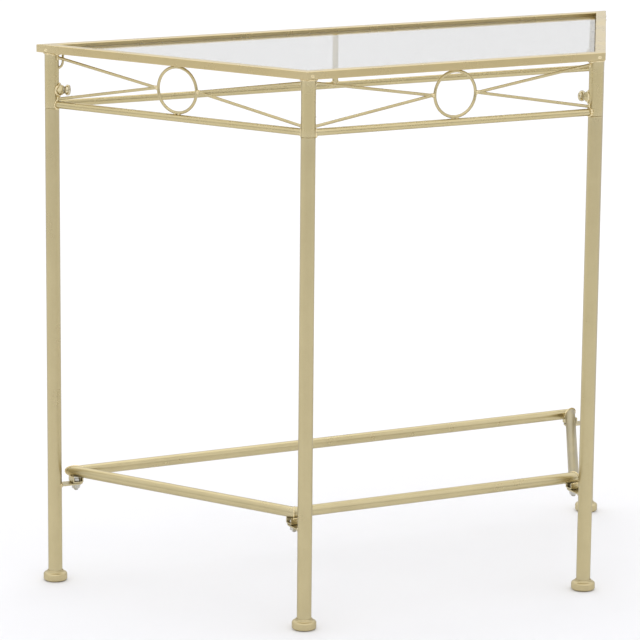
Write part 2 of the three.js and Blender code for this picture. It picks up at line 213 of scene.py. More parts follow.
def zinc_plate():
    """Bright zinc with a faint yellow passivation, streaked by machining."""
    mat, tree, bsdf = node_tree("zinc_plate")
    coords = tree.nodes.new("ShaderNodeTexCoord").outputs["Object"]
    cloud = noise_tex(tree, coords, 160, 4)
    grain = noise_tex(tree, coords, 2200, 3)
    tint = ramp(tree, cloud, [
        (0.3, (0.42, 0.40, 0.35)), (0.52, (0.60, 0.59, 0.55)), (0.75, (0.55, 0.50, 0.36))])
    ground = mix_color(tree, map_range(tree, grain, 0.0, 0.3, 0.3, 0.8), tint, (0.75, 0.74, 0.70))
    link(tree, ground, bsdf.inputs["Base Color"])
    link(tree, map_range(tree, grain, 0.26, 0.46, 0.3, 0.7), bsdf.inputs["Roughness"])
    bsdf.inputs["Metallic"].default_value = METALLIC
    bump(tree, bsdf, [(grain, 0.3, 0.00003)])
    return mat


ZINC = zinc_plate()


def clear_glass():
    """Float glass: slightly grey, with a slight ripple and a faint film of dust on it."""
    mat, tree, bsdf = node_tree("clear_glass")
    coords = tree.nodes.new("ShaderNodeTexCoord").outputs["Object"]
    dust = noise_tex(tree, coords, 35, 5)
    tint = ramp(tree, dust, [(0.3, (0.77, 0.775, 0.765)), (0.8, (0.80, 0.80, 0.79))])
    link(tree, tint, bsdf.inputs["Base Color"])
    link(tree, map_range(tree, dust, 0.0, 0.035, 0.45, 0.85), bsdf.inputs["Roughness"])
    bsdf.inputs["Transmission Weight"].default_value = 1.0
    bsdf.inputs["IOR"].default_value = 1.5
    bump(tree, bsdf, [(noise_tex(tree, coords, 6, 1), 0.04, 0.0004)])
    return mat


GLASS = clear_glass()

# ------------------------------------------------------------------ mesh tools


def add_mesh(name, verts, faces, material, body=TABLE, slot="gold_paint", stands_for=(), sharp=32):
    mesh = bpy.data.meshes.new(name)
    mesh.from_pydata([tuple(v) for v in verts], [], faces)
    mesh.validate()
    bm = cleaned(mesh)
    bm.to_mesh(mesh)
    bm.free()
    mesh.materials.append(material)
    mesh.polygons.foreach_set("use_smooth", [True] * len(mesh.polygons))
    mesh.set_sharp_from_angle(angle=math.radians(sharp))
    obj = bpy.data.objects.new(name, mesh)
    SCENE.collection.objects.link(obj)
    weighted = obj.modifiers.new("weighted_normal", "WEIGHTED_NORMAL")
    weighted.keep_sharp = True
    weighted.weight = 60
    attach(obj, body)
    if stands_for:
        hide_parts(*stands_for)


def cleaned(mesh):
    """Joins vertices in the same place and turns the faces outwards."""
    bm = bmesh.new()
    bm.from_mesh(mesh)
    bmesh.ops.remove_doubles(bm, verts=bm.verts, dist=1e-7)
    bmesh.ops.recalc_face_normals(bm, faces=bm.faces)
    return bm


def rings_to_faces(rings, loop=False):
    """Rings are lists of vertex numbers; a ring of one vertex is a pole."""
    faces = []
    pairs = list(zip(rings, rings[1:])) + ([(rings[-1], rings[0])] if loop else [])
    for a, b in pairs:
        n = max(len(a), len(b))
        for i in range(n):
            j = (i + 1) % n
            if len(a) == 1:
                faces.append((a[0], b[i], b[j]))
            elif len(b) == 1:
                faces.append((a[i], b[0], a[j]))
            else:
                faces.append((a[i], b[i], b[j], a[j]))
    return faces


class Solid:
    """Collects closed shells into one mesh."""

    def __init__(self):
        self.verts, self.faces = [], []

    def rings(self, rings, loop=False, cap=False):
        numbers = []
        for ring in rings:
            start = len(self.verts)
            self.verts.extend(ring)
            numbers.append(list(range(start, start + len(ring))))
        self.faces.extend(rings_to_faces(numbers, loop=loop))
        if cap:
            self.faces.append(tuple(numbers[0]))
            self.faces.append(tuple(reversed(numbers[-1])))

    def turned(self, profile, matrix=Matrix(), sides=64, shape=None):
        """profile: (radius, height) in metres up the outside; shape(angle, radius) may make it many-sided."""
        rings = []
        for radius, height in profile:
            if radius < 1e-9:
                rings.append([matrix @ Vector((0, 0, height))])
                continue
            ring = []
            for k in range(sides):
                angle = 2 * math.pi * k / sides
                r = shape(angle, radius) if shape else radius
                ring.append(matrix @ Vector((r * math.cos(angle), r * math.sin(angle), height)))
            rings.append(ring)
        self.rings(rings, loop=profile[0][0] > 1e-9 and profile[-1][0] > 1e-9)

    def swept(self, path, radius, sides=20, closed=False, twist_up=None):
        """Round bar along a path; radius is a number or one number for each point."""
        n = len(path)
        radii = radius if isinstance(radius, list) else [radius] * n
        tangents = []
        for i in range(n):
            before = path[(i - 1) % n] if closed or i > 0 else path[0]
            after = path[(i + 1) % n] if closed or i < n - 1 else path[-1]
            tangents.append((after - before).normalized())
        up = twist_up or (Vector((0, 0, 1)) if abs(tangents[0].z) < 0.9 else Vector((1, 0, 0)))
        normal = (up - tangents[0] * up.dot(tangents[0])).normalized()
        rings = []
        for i in range(n):
            normal = (normal - tangents[i] * normal.dot(tangents[i])).normalized()
            side = tangents[i].cross(normal)
            rings.append([
                path[i] + (normal * math.cos(a) + side * math.sin(a)) * radii[i]
                for a in (2 * math.pi * k / sides for k in range(sides))
            ])
        self.rings(rings, loop=closed, cap=not closed)

    def make(self, name, material, **options):
        add_mesh(name, self.verts, self.faces, material, **options)


def clamp_axis(c):
    """Matrix whose local +Z runs level out of the post, along the clamp's screw."""
    z, x = SCREW_DIR[c], Vector((0, 0, 1))
    turn = Matrix((x, z.cross(x), z)).transposed().to_4x4()
    return Matrix.Translation(Vector((POST[c].x, POST[c].y, SCREW_Z))) @ turn


def upright(place):
    """Matrix whose local +Z runs straight up from the floor below place."""
    return Matrix.Translation(Vector((place.x, place.y, 0)))


def in_mm(*points):
    return [(x * MM, y * MM) for x, y in points]


def around(count):
    """Angles of count equal steps round a circle."""
    return [2 * math.pi * k / count for k in range(count)]


def rounded(profile, radius, steps=4):
    """Rounds each inner corner of an open (radius, height) profile."""
    points = [Vector(p) for p in profile]
    out = [points[0]]
    for before, here, after in zip(points, points[1:], points[2:]):
        a, b = before - here, after - here
        reach = min(radius, a.length * 0.45, b.length * 0.45)
        start, end = here + a.normalized() * reach, here + b.normalized() * reach
        for k in range(steps + 1):
            t = k / steps
            out.append(start * (1 - t) ** 2 + here * 2 * t * (1 - t) + end * t ** 2)
    out.append(points[-1])
    return [tuple(p) for p in out]


def bead_radii(count, radius, rng, ripples, closed):
    """Radii of a weld bead: overlapping puddles, uneven, tapering at open ends."""
    phase = rng.uniform(0, 6.28)
    radii = []
    for i in range(count):
        t = i / (count if closed else count - 1)
        puddle = abs(math.sin(math.pi * ripples * t + phase))
        r = radius * (0.86 + 0.2 * puddle + rng.uniform(-0.04, 0.04))
        if not closed:
            r *= min(1.0, 0.35 + 5 * min(t, 1 - t))
        radii.append(r)
    return radii


def bead(solid, path, radius, rng, closed=True, pitch=2.2 * MM):
    """Weld bead along a path, with one ripple for each pitch."""
    length = sum((b - a).length for a, b in zip(path, path[1:] + path[:1] if closed else path[1:]))
    ripples = max(2, round(length / pitch))
    solid.swept(path, bead_radii(len(path), radius, rng, ripples, closed), 12, closed)


def saddle(post, direction, height, tube, out):
    """Curve where a bar of radius tube, going out along direction, meets an upright post."""
    side = Vector((-direction.y, direction.x, 0))
    path = []
    for a in around(72):
        y, z = tube * math.cos(a), tube * math.sin(a)
        x = math.sqrt(max(R_POST ** 2 - y ** 2, 0)) + out
        path.append(Vector((post.x, post.y, height)) + direction * x + side * y + Vector((0, 0, z)))
    return path


def lump(solid, centre, size, rng):
    """A spot of weld: a rounded, uneven blob."""
    seed = Vector((rng.uniform(0, 50), rng.uniform(0, 50), rng.uniform(0, 50)))
    rings = [[centre + Vector((0, 0, -size.z))]]
    steps = 12
    for i in range(1, steps):
        v = math.pi * i / steps - math.pi / 2
        ring = []
        for u in around(20):
            direction = Vector((math.cos(v) * math.cos(u), math.cos(v) * math.sin(u), math.sin(v)))
            r = 1 + 0.16 * noise.noise(direction * 1.6 + seed)
            ring.append(centre + direction * size * r)
        rings.append(ring)
    rings.append([centre + Vector((0, 0, size.z))])
    solid.rings(rings)


def inset_corner(outline, i, distance):
    corner = outline[i]
    following = (outline[(i + 1) % 4] - corner).normalized()
    previous = (outline[(i + 3) % 4] - corner).normalized()
    sine = abs(following.cross(previous))
    return corner + (following + previous) * (distance / sine)


# ------------------------------------------------------------------ top frame

def top_frame():
    """The four rails as one welded frame: a bar with softened edges and a thin ledge inside it."""
    low, top = RAIL_LOW, RAIL_TOP
    width, lip, thick = 14 * MM, 22 * MM, 1.2 * MM
    soft, small = 1.1 * MM, 0.45 * MM

    def arc(cx, cz, r, start, steps=4):
        turns = [start - math.pi / 2 * k / steps for k in range(steps + 1)]
        return [(cx + r * math.cos(t), cz + r * math.sin(t)) for t in turns]

    section = arc(soft, top - soft, soft, math.pi)
    section += arc(width - soft, top - soft, soft, math.pi / 2)
    section += [(width, low + thick + 0.3 * MM), (width + 0.3 * MM, low + thick)]
    section += arc(lip - small, low + thick - small, small, math.pi / 2)
    section += arc(lip - small, low + small, small, 0)
    section += arc(small * 2, low + small * 2, small * 2, -math.pi / 2)
    solid = Solid()
    rings = []
    for i in range(4):
        ring = []
        for u, z in section:
            p = inset_corner(OUTER, i, u)
            ring.append(Vector((p.x, p.y, z)))
        rings.append(ring)
    # each side gets stations along it, so that its shading stays even
    stations = []
    for i in range(4):
        a, b = rings[i], rings[(i + 1) % 4]
        for k in range(12):
            stations.append([p.lerp(q, k / 12) for p, q in zip(a, b)])
    solid.rings(stations, loop=True)
    names = [f"top_rail_{s}" for s in ("front", "right", "back", "left")]
    solid.make("top_frame", GOLD_RAIL, stands_for=names, sharp=30)


def spot_welds():
    """Low dots on the rails' outer faces above the posts, ground nearly flat."""
    rng = random.Random(4)
    solid = Solid()
    spots = [(0, 0.0085, RAIL_TOP - 6.2 * MM), (0, 0.4265, RAIL_TOP - 6.2 * MM),
             (3, 0.0150, RAIL_TOP - 6.8 * MM), (1, 0.4056, RAIL_TOP - 6.8 * MM)]
    for i, distance, z in spots:
        a, b = OUTER[i], OUTER[(i + 1) % 4]
        along = (b - a).normalized()
        outward = Vector((along.y, -along.x, 0))
        p = a + along * distance
        centre = Vector((p.x, p.y, z))
        side = Vector((along.x, along.y, 0))
        seed = Vector((rng.uniform(0, 9), rng.uniform(0, 9), 0))
        rings = []
        for height, share in ((-0.3, 1.05), (0.0, 1.0), (0.28, 0.86), (0.46, 0.62), (0.55, 0.34)):
            ring = []
            for k in range(28):
                t = 2 * math.pi * k / 28
                r = share * (1 + 0.12 * noise.noise(Vector((math.cos(t), math.sin(t), height)) + seed))
                ring.append(centre + side * (2.9 * MM * r * math.cos(t))
                            + Vector((0, 0, 1.9 * MM * r * math.sin(t))) + outward * height * MM)
            rings.append(ring)
        rings.insert(0, [centre - outward * 0.3 * MM])
        rings.append([centre + outward * 0.58 * MM])
        solid.rings(rings)
    # the spots take the lighter weld colour, a painted highlight on them
    solid.make("spot_welds", WELD_PAINTED_HIGHLIGHT, sharp=60)


# ------------------------------------------------------------------ glass

def glass_pane():
    low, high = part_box("glass_pane")
    bottom, top = low[2], high[2]
    edge = 0.7 * MM
    inset = 14.5 * MM
    corner_radius = 2.5 * MM

    def outline_at(extra):
        ring = []
        corners = [inset_corner(OUTER, i, inset + extra) for i in range(4)]
        for i in range(4):
            here, before, after = corners[i], corners[i - 1], corners[(i + 1) % 4]
            a, b = (before - here).normalized(), (after - here).normalized()
            half = math.acos(max(-1, min(1, a.dot(b)))) / 2
            reach = (corner_radius - extra) / math.tan(half)
            start, end = here + a * reach, here + b * reach
            for k in range(7):
                t = k / 6
                ring.append(start * (1 - t) ** 2 + here * 2 * t * (1 - t) + end * t ** 2)
        return ring

    lower, upper = [], []
    for k in range(5):
        a = math.pi / 2 * k / 4
        plan = outline_at(edge * (1 - math.sin(a)))
        rise = edge * (1 - math.cos(a))
        lower.append([Vector((p.x, p.y, bottom + rise)) for p in plan])
        upper.append([Vector((p.x, p.y, top - rise)) for p in plan])
    solid = Solid()
    solid.rings(lower + upper[::-1], cap=True)
    solid.make("glass_top", GLASS, body="glass", slot="clear_glass", stands_for=["glass_pane"], sharp=40)


# ------------------------------------------------------------------ apron

SIDES = {
    "left": ("rear_left", "front_left"),
    "front": ("front_left", "front_right"),
    "right": ("front_right", "rear_right"),
    "back": ("rear_right", "rear_left"),
}


def apron_side(side, rng):
    a, b = (POST[c] for c in SIDES[side])
    along = (b - a).normalized()
    span = (b - a).length
    up = Vector((0, 0, 1))
    across = Vector((along.y, -along.x, 0))      # outwards

    def at(x, z):
        return Vector((a.x, a.y, z)) + along * x

    rod = Solid()
    stations = [at(6 * MM + (span - 12 * MM) * k / 24, APRON_Z) for k in range(25)]
    rod.swept(stations, R_ROD, 40)
    rod.make(f"apron_rod_{side}_bar", GOLD_TOP, stands_for=[f"apron_rod_{side}"])

    welds = Solid()
    for post, direction in ((a, along), (b, -along)):
        bead(welds, saddle(post, direction, APRON_Z, R_ROD + 0.6 * MM, out=0.2 * MM), 1.25 * MM, rng)
        for _ in range(4):
            turn = rng.uniform(0, 2 * math.pi)
            spot = Vector((post.x, post.y, APRON_Z)) + direction * 8.6 * MM
            spot += Vector((-direction.y, direction.x, 0)) * (math.cos(turn) * 5.6 * MM)
            spot += up * (math.sin(turn) * 5.8 * MM)
            size = rng.uniform(1.7, 2.5) * MM
            lump(welds, spot, Vector((size, size, size * 0.9)), rng)

    if side == "back":
        strut = Solid()
        x = span / 2
        low, high = APRON_Z + 3 * MM, RAIL_LOW + 0.2 * MM
        strut.swept([at(x, low + (high - low) * k / 6) for k in range(7)], R_STRUT, 36, twist_up=along)
        strut.make("apron_strut", GOLD_TOP, stands_for=["apron_strut_back"])
        foot, head = 4.3 * MM, 4.6 * MM
        on_rod, under_rail = [], []
        for t in around(48):
            rise = math.sqrt(R_ROD ** 2 - (foot * math.sin(t)) ** 2) + 0.5 * MM
            turn = along * math.cos(t) + across * math.sin(t)
            on_rod.append(at(x, APRON_Z) + turn * foot + up * rise)
            under_rail.append(at(x, RAIL_LOW - 0.3 * MM) + turn * head)
        bead(welds, on_rod, 1.0 * MM, rng)
        bead(welds, under_rail, 1.0 * MM, rng)
        welds.make(f"apron_welds_{side}", WELD_PAINTED_HIGHLIGHT, sharp=60)
        return

    centre = span / 2
    radius = RING_RADIUS
    ring = Solid()
    path = [at(centre + radius * math.cos(t), RING_Z + radius * math.sin(t)) for t in around(128)]
    ring.swept(path, R_WIRE, 20, closed=True)
    ring.make(f"apron_ring_{side}_wire", GOLD_TOP, stands_for=[f"apron_ring_{side}"])

    # pairs of diagonals: one wire each, bent tight at the ring
    for end, post_x, sign in (("a", 0.0, -1), ("b", span, 1)):
        apex_x = centre + sign * (radius + R_WIRE + 0.6 * MM)
        start_x = post_x - sign * 7.5 * MM
        upper = Vector((start_x, UNDER_RAIL - 5.2 * MM))
        lower = Vector((start_x, APRON_Z + 7.2 * MM))
        apex = Vector((apex_x, RING_Z))
        u_dir, l_dir = (upper - apex).normalized(), (lower - apex).normalized()
        points = [upper.lerp(apex + u_dir * 6 * MM, k / 10) for k in range(11)]
        inner_u, inner_l = apex + u_dir * 5.5 * MM, apex + l_dir * 5.5 * MM
        nose = apex + Vector((-sign * 1.6 * MM, 0))
        for k in range(1, 12):
            t = k / 12
            points.append(inner_u * (1 - t) ** 2 + nose * 2 * t * (1 - t) + inner_l * t ** 2)
        points += [(apex + l_dir * 6 * MM).lerp(lower, k / 10) for k in range(11)]
        wire = Solid()
        wire.swept([at(p.x, p.y) for p in points], R_WIRE, 18, twist_up=across)
        wire.make(f"apron_wire_{side}_{end}_rod", GOLD_TOP, stands_for=[f"apron_wire_{side}_{end}"])
        # tip welded to the ring, ends welded to the post
        tip = at(centre + sign * (radius + 2.2 * MM), RING_Z)
        lump(welds, tip, Vector((2.6 * MM, 2.6 * MM, 3.1 * MM)), rng)
        behind = tip + along * sign * 2.6 * MM + up * 0.6 * MM
        lump(welds, behind, Vector((2.1 * MM, 2.1 * MM, 2.3 * MM)), rng)
        post = a if end == "a" else b
        outwards = along * (-sign)
        for height, slope in ((UNDER_RAIL - 6.4 * MM, 1), (APRON_Z + 8.4 * MM, -1)):
            foot = Vector((post.x, post.y, height)) + outwards * 9.6 * MM
            lump(welds, foot, Vector((2.3 * MM, 2.3 * MM, 3.0 * MM)), rng)
            above = foot + up * slope * 1.9 * MM + across * 0.8 * MM
            lump(welds, above, Vector((1.7 * MM, 1.7 * MM, 1.7 * MM)), rng)
    for height in (RING_Z + radius + 1.6 * MM, RING_Z - radius - 1.6 * MM):
        for shift in (-1, 1):
            lump(welds, at(centre + shift * 3.0 * MM, height), Vector((2.5 * MM, 1.7 * MM, 1.5 * MM)), rng)
    welds.make(f"apron_welds_{side}", WELD_PAINTED_HIGHLIGHT, sharp=60)


# ------------------------------------------------------------------ corners

def hex_radius(across_flats):
    def shape(angle, radius):
        sector = (angle + math.pi / 6) % (math.pi / 3) - math.pi / 6
        return min(radius, across_flats / 2 / math.cos(sector))
    return shape


def corner_post(c, rng):
    p = POST[c]
    tube = Solid()
    outer, inner = R_POST, 8.2 * MM
    bottom, top = POST_BOTTOM, RAIL_LOW + 0.2 * MM
    profile = [(inner, bottom + 0.4 * MM), (inner + 0.3 * MM, bottom)]
    profile += [(outer - 0.35 * MM, bottom), (outer, bottom + 0.35 * MM)]
    profile += [(outer, bottom + (top - bottom) * k / 8) for k in range(1, 9)]
    profile += [(inner, top), (inner, bottom + 0.4 * MM)]
    tube.turned(profile, upright(p), 72)
    tube.make(f"corner_post_{c}_tube", GOLD_TOP, stands_for=[f"corner_post_{c}"])

    welds = Solid()
    ring = [Vector((p.x, p.y, RAIL_LOW - 0.9 * MM)) + flat(t) * (R_POST + 0.5 * MM) for t in around(96)]
    bead(welds, ring, 0.9 * MM, rng, pitch=3 * MM)
    # heavier tacks under the rail, on the side that faces the middle of the table
    inward = math.atan2(SCREW_DIR[c].y, SCREW_DIR[c].x)
    for turn in (-1.25, -0.6, 0.15, 0.8, 1.4):
        spot = Vector((p.x, p.y, RAIL_LOW - 1.6 * MM)) + flat(inward + turn) * (R_POST + 0.2 * MM)
        size = rng.uniform(1.9, 2.9) * MM
        lump(welds, spot, Vector((size, size, size * 0.8)), rng)
    bead(welds, saddle(p, SCREW_DIR[c], SCREW_Z, 7.9 * MM, out=0.4 * MM), 1.7 * MM, rng, pitch=3 * MM)
    welds.make(f"corner_welds_{c}", WELD_PAINTED_HIGHLIGHT, sharp=60)


def weld_nut(c):
    """Nut welded to the post, narrower towards the screw's head."""
    profile = in_mm((3.35, 7.2), (7.6, 7.2), (7.6, 12.6), (6.6, 13.8),
                    (5.6, 15.2), (4.9, 15.4), (3.9, 15.4), (3.35, 14.9), (3.35, 7.2))
    nut = Solid()
    nut.turned(profile, clamp_axis(c), 72, hex_radius(13 * MM))
    nut.make(f"weld_nut_{c}_body", GOLD_TOP, stands_for=[f"weld_nut_{c}"])


def clamp_washer(c):
    start, end = 15.7 * MM, 16.9 * MM
    hole, rim = 3.3 * MM, 5.2 * MM
    seam = (hole, (start + end) / 2)
    profile = rounded([seam, (hole, start), (rim, start), (rim, end), (hole, end), seam], 0.3 * MM, 3)
    washer = Solid()
    washer.turned(profile, clamp_axis(c), 72)
    washer.make(
        f"clamp_washer_{c}_disc", ZINC_GOLD, body=f"clamp_travel_{c}", stands_for=[f"clamp_washer_{c}"])


def clamp_screw(c):
    """Screw with a rolled thread, a domed head and a hexagon socket that has a floor."""
    axis = clamp_axis(c)
    start, head, end = 8.2 * MM, 17.2 * MM, 24.6 * MM
    r = 3.0 * MM
    screw = Solid()
    profile = [(0, start), (r - 0.7 * MM, start)]
    z = start + 0.5 * MM
    while z < head - 1.2 * MM:
        profile += [(r - 0.45 * MM, z), (r - 0.05 * MM, z + 0.4 * MM), (r - 0.05 * MM, z + 0.6 * MM)]
        z += 1.0 * MM
    rim = 7.2 * MM
    mouth_radius = 2.55 * MM
    profile += rounded([
        (r, head), (rim - 2.8 * MM, head), (rim - 1.2 * MM, head + 0.9 * MM), (rim, head + 2.2 * MM),
        (rim, end - 2.2 * MM), (rim - 1.9 * MM, end - 0.35 * MM), (2.9 * MM, end),
        (mouth_radius, end - 0.05 * MM)], 1.1 * MM, 5)
    sides = 72
    screw.turned(profile + [(mouth_radius, end - 0.3 * MM)], axis, sides)
    # the shell above ends at the socket's mouth: close it with the hexagonal well
    mouth = list(range(len(screw.verts) - sides, len(screw.verts)))
    well = []
    shape = hex_radius(4.2 * MM)
    for depth in (0.5 * MM, 3.0 * MM):
        first = len(screw.verts)
        for t in around(sides):
            across = shape(t, 2.5 * MM)
            screw.verts.append(axis @ Vector((across * math.cos(t), across * math.sin(t), end - depth)))
        well.append(list(range(first, first + sides)))
    floor = len(screw.verts)
    screw.verts.append(axis @ Vector((0, 0, end - 3.3 * MM)))
    screw.faces.extend(rings_to_faces([mouth, *well, [floor]]))
    screw.make(f"clamp_screw_{c}_knob", ZINC_GOLD, body=f"clamp_turn_{c}", stands_for=[f"clamp_screw_{c}"])


def leg(c):
    """Tube with a narrower spigot at its top, which goes up inside the corner post."""
    r, spigot, bore = R_POST, 7.9 * MM, 6.7 * MM
    top, crown = LEG_TOP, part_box(f"leg_{c}")[1][2]
    profile = [(bore, LEG_BOTTOM), (r, LEG_BOTTOM)]
    profile += [(r, LEG_BOTTOM + (top - 1.1 * MM - LEG_BOTTOM) * k / 40) for k in range(1, 41)]
    profile += [(r - 0.7 * MM, top - 0.15 * MM), (r - 0.9 * MM, top), (spigot, top),
                (spigot, crown - 1 * MM), (spigot - 0.6 * MM, crown), (bore, crown), (bore, LEG_BOTTOM)]
    tube = Solid()
    tube.turned(profile, upright(POST[c]), 96)
    tube.make(f"leg_{c}_tube", GOLD, stands_for=[f"leg_{c}"], sharp=28)


def foot(c):
    """Turned foot: a rounded disc with a step, and a short collar round the leg."""
    outline = in_mm((0, 0), (14.4, 0), (16, 1.6), (16, 8.9), (14.6, 10.6), (12.4, 10.9),
                    (11.3, 11.6), (10.9, 13.4), (10.2, 14), (9.75, 13.8), (9.75, 3), (0, 3))
    solid = Solid()
    solid.turned(rounded(outline, 0.8 * MM, 4), upright(POST[c]), 96)
    solid.make(f"foot_{c}_cap", GOLD_FOOT, stands_for=[f"foot_{c}"], sharp=28)


def lug(c, rng):
    """Flat tab with a round end, welded to the leg above and below."""
    p, d = POST[c], LUG_DIR[c]
    side = Vector((-d.y, d.x, 0))
    half, reach, thick, soft = 9 * MM, LUG_REACH, 2 * MM, 0.35 * MM

    def plan(shrink):
        ring = []
        w = half - shrink
        for k in range(17):
            t = -math.pi / 2 + math.pi * k / 16
            ring.append(d * (reach + w * math.cos(t)) + side * (w * math.sin(t)))
        inner = math.asin(w / (R_POST + 0.05 * MM) * 0.999) if w < R_POST else math.pi / 2
        for k in range(13):
            t = inner - 2 * inner * k / 12
            ring.append((d * math.cos(t) + side * math.sin(t)) * (R_POST - 0.3 * MM))
        return ring

    solid = Solid()
    levels = [(LUG_TOP - thick, soft), (LUG_TOP - thick + soft, 0), (LUG_TOP - soft, 0), (LUG_TOP, soft)]
    solid.rings([[Vector((p.x, p.y, z)) + v for v in plan(shrink)] for z, shrink in levels], cap=True)
    solid.make(f"leg_lug_{c}_tab", GOLD, stands_for=[f"leg_lug_{c}"], sharp=35)

    welds = Solid()
    reach_angle = 1.12
    for z in (LUG_TOP + 0.35 * MM, LUG_TOP - thick - 0.35 * MM):
        path = [Vector((p.x, p.y, z)) + (d * math.cos(t) + side * math.sin(t)) * (R_POST + 0.25 * MM)
                for t in (reach_angle * (2 * k / 36 - 1) for k in range(37))]
        bead(welds, path, 1.3 * MM, rng, closed=False, pitch=2.6 * MM)
    welds.make(f"lug_welds_{c}", WELD_PAINTED_HIGHLIGHT, sharp=60)


def bracket(c, rng):
    """Channel pressed from sheet: a base on the lug and two walls up to the stretcher."""
    o, d = STUD[c], LUG_DIR[c]
    side = Vector((-d.y, d.x, 0))
    low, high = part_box(f"stretcher_bracket_{c}")[0][2], STRETCHER_Z - 5.4 * MM
    half_length, half_width, wall = 7.5 * MM, 8 * MM, 1.5 * MM
    within = half_length - wall
    outer = rounded([(-half_length, high), (-half_length, low), (half_length, low), (half_length, high)],
                    2.2 * MM, 5)
    inner = rounded([(within, high), (within, low + wall), (-within, low + wall), (-within, high)],
                    0.9 * MM, 5)
    section = outer + inner
    solid = Solid()
    rings = []
    for w in (-half_width, -half_width + 0.3 * MM, half_width - 0.3 * MM, half_width):
        rings.append([Vector((o.x, o.y, z)) + d * x + side * w for x, z in section])
    # ends are closed with strips, because the section is a channel
    solid.rings(rings)
    n, m = len(section), len(outer)
    for first in (0, 3 * n):
        for k in range(m - 1):
            solid.faces.append((first + k, first + k + 1, first + n - 2 - k, first + n - 1 - k))
    solid.make(f"stretcher_bracket_{c}_channel", GOLD, stands_for=[f"stretcher_bracket_{c}"], sharp=35)


def bolt(c):
    """Hexagon bolt with its flanged nut, thread showing below the nut."""
    o = STUD[c]
    at = upright(o) @ Matrix.Rotation(0.35 if "left" in c else 0.8, 4, "Z")
    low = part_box(f"stretcher_bolt_{c}")[0][2]
    nut_top = LUG_TOP - 2.3 * MM
    nut_bottom = nut_top - 6 * MM
    head = LUG_TOP + 2.1 * MM
    flats = 10 * MM
    shape = hex_radius(flats)
    r = 3 * MM
    thread = Solid()
    profile = [(0, low), (r - 0.8 * MM, low), (r - 0.5 * MM, low + 0.3 * MM)]
    z = low + 0.4 * MM
    while z < nut_bottom - 0.2 * MM:
        profile += [(r - 0.5 * MM, z), (r - 0.05 * MM, z + 0.4 * MM)]
        profile += [(r - 0.05 * MM, z + 0.55 * MM), (r - 0.5 * MM, z + 0.9 * MM)]
        z += 1.0 * MM
    profile += [(r - 0.1 * MM, nut_bottom + 0.5 * MM), (r - 0.1 * MM, head + 1 * MM), (0, head + 1 * MM)]
    thread.turned(profile, at, 48)
    bore, corner = 3.1 * MM, 5.8 * MM
    hexagon = [(bore, nut_bottom + 0.2 * MM), (3.6 * MM, nut_bottom), (flats / 2 - 0.1 * MM, nut_bottom),
               (flats / 2 + 0.25 * MM, nut_bottom + 0.15 * MM), (corner, nut_bottom + 0.9 * MM),
               (corner, nut_top - 2.2 * MM), (corner, nut_top - 1.0 * MM), (bore, nut_top - 1.0 * MM),
               (bore, nut_bottom + 0.2 * MM)]
    thread.turned(hexagon, at, 72, shape)
    flange = [(bore, nut_top - 1.6 * MM), (5.0 * MM, nut_top - 2.3 * MM), (6.9 * MM, nut_top - 1.25 * MM),
              (7.1 * MM, nut_top - 0.9 * MM), (7.1 * MM, nut_top - 0.25 * MM), (6.9 * MM, nut_top),
              (bore, nut_top), (bore, nut_top - 1.6 * MM)]
    thread.turned(flange, at, 72)
    top = head + 3.5 * MM
    cap = [(0, head), (flats / 2 - 0.1 * MM, head), (corner, head + 0.15 * MM), (corner, top - 0.8 * MM),
           (flats / 2 + 0.2 * MM, top - 0.1 * MM), (flats / 2 - 0.3 * MM, top), (0, top)]
    thread.turned(cap, at, 72, shape)
    thread.make(
        f"stretcher_bolt_{c}_set", ZINC, slot="zinc_fasteners", stands_for=[f"stretcher_bolt_{c}"], sharp=28)


def wire_hook(rng):
    """Small wire hook: straight down from the rail, then bent in to the post above the clamp."""
    c = "rear_left"
    p, d = POST[c], SCREW_DIR[c]
    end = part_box("wire_hook_rear_left")[0][2] + 1.25 * MM
    top, start_z = RAIL_LOW + 0.3 * MM, UNDER_RAIL - 10 * MM
    reach = 5.2 * MM
    points = [(reach, top + (start_z - top) * k / 12) for k in range(13)]
    for k in range(1, 19):
        t = k / 18
        x = reach * (1 - t) ** 2 + 2 * t * (1 - t) * reach * 0.95 + t * t * (-0.6 * MM)
        z = start_z * (1 - t) ** 2 + 2 * t * (1 - t) * (end + 1.5 * MM) + t * t * end
        points.append((x, z))
    path = [Vector((p.x, p.y, z)) + d * (R_POST + x) for x, z in points]
    wire = Solid()
    wire.swept(path, 1.6 * MM, 18, twist_up=Vector((-d.y, d.x, 0)))
    wire.make("wire_hook_rod", GOLD_TOP, stands_for=["wire_hook_rear_left"])
    welds = Solid()
    lump(welds, path[0] - Vector((0, 0, 0.8 * MM)), Vector((1.8 * MM, 1.8 * MM, 1.4 * MM)), rng)
    lump(welds, path[-1] + d * 0.5 * MM, Vector((1.9 * MM, 1.9 * MM, 1.7 * MM)), rng)
    welds.make("wire_hook_welds", WELD_PAINTED_HIGHLIGHT, sharp=60)


# ------------------------------------------------------------------ stretcher

